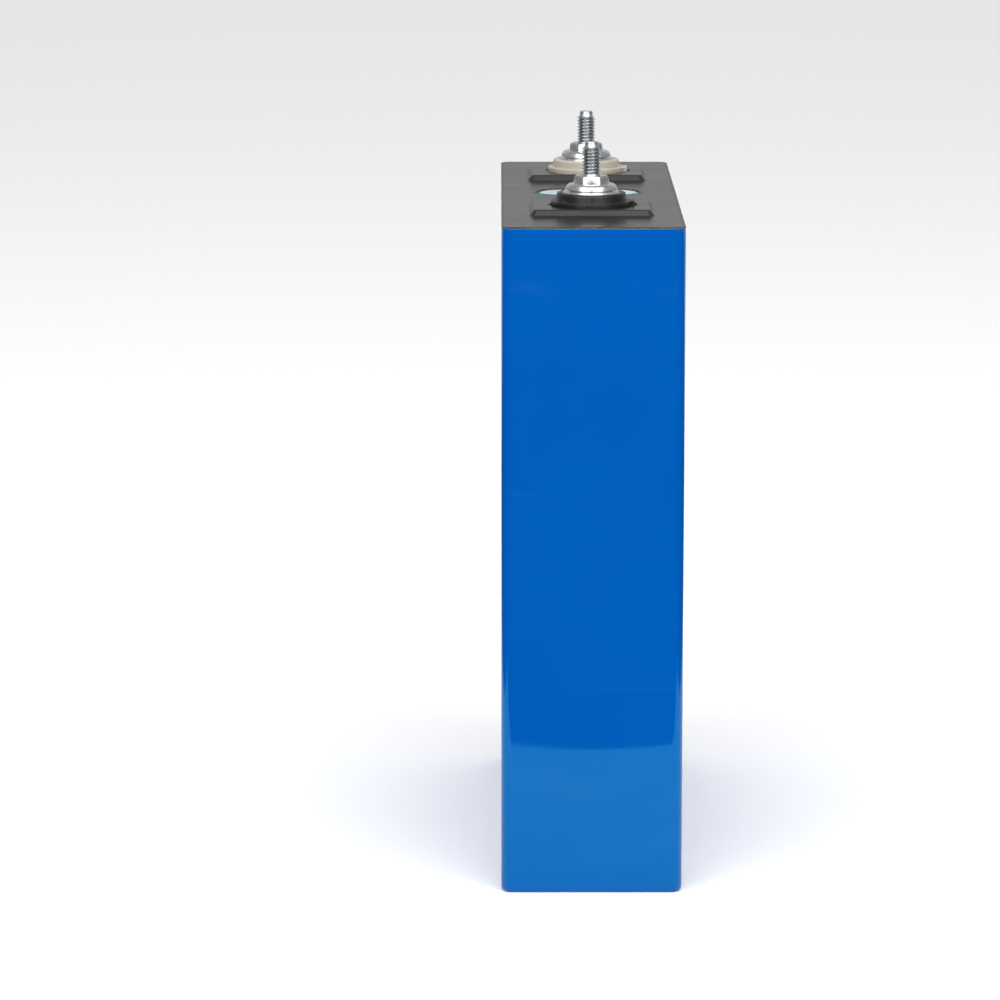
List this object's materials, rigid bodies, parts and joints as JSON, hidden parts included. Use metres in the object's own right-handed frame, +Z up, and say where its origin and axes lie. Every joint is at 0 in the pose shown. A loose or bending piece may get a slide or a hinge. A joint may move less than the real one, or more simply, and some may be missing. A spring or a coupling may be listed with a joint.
{
  "type": "prismatic battery cell",
  "caption": "Prismatic lithium iron phosphate cell in a blue film wrap, with a black top sheet, a central relief vent and threaded terminal studs.",
  "frame": {"origin": "middle of the flat base", "axes": "+Z up towards the terminals, +Y from the negative to the positive terminal, X across the cell's thickness"},
  "size_m": [0.055, 0.1744, 0.2236],
  "materials": {
    "blue_film": "gloss",
    "black_sheet": "satin",
    "vent_film": "translucent",
    "beige_plastic": "matte moulded",
    "black_plastic": "satin moulded",
    "zinc_plate": "bright zinc plated",
    "aluminium": "as stamped",
    "can_aluminium": "drawn",
    "weld_metal": "laser weld",
    "copper": "bare copper",
    "aluminium_foil": "foil",
    "copper_foil": "foil",
    "anode_coating": "graphite",
    "cathode_coating": "coated",
    "separator_film": "matte",
    "bag_film": "satin",
    "white_plastic": "moulded",
    "green_tape": "satin",
    "seal_rubber": "smooth"
  },
  "bodies": {
    "root": {"can": "can_aluminium", "lid_plate": "aluminium", "lid_weld_bead": "weld_metal", "vent_disc": "aluminium", "vent_weld_bead": "weld_metal", "vent_film": "vent_film", "fill_port_pin": "seal_rubber", "fill_port_cap": "aluminium", "top_sheet": "black_sheet", "wrap_sleeve": "blue_film", "base_film": "blue_film", "positive_pole": "aluminium", "negative_pole": "copper", "positive_terminal_block": "aluminium", "negative_terminal_block": "aluminium", "positive_upper_insulator": "beige_plastic", "negative_upper_insulator": "black_plastic", "positive_seal_ring": "seal_rubber", "negative_seal_ring": "seal_rubber", "positive_lower_insulator": "white_plastic", "negative_lower_insulator": "white_plastic", "positive_stud": "zinc_plate", "negative_stud": "zinc_plate", "positive_stud_weld": "weld_metal", "negative_stud_weld": "weld_metal", "positive_collector": "aluminium", "negative_collector": "copper", "positive_tabs_left": "aluminium_foil", "positive_tabs_right": "aluminium_foil", "negative_tabs_left": "copper_foil", "negative_tabs_right": "copper_foil", "positive_tab_tape": "green_tape", "negative_tab_tape": "green_tape", "left_roll_anode": "anode_coating", "left_roll_cathode": "cathode_coating", "left_roll_separator": "separator_film", "left_roll_tape": "green_tape", "right_roll_anode": "anode_coating", "right_roll_cathode": "cathode_coating", "right_roll_separator": "separator_film", "right_roll_tape": "green_tape", "roll_bag": "bag_film", "bottom_spacer": "white_plastic"}
  },
  "joints": []
}
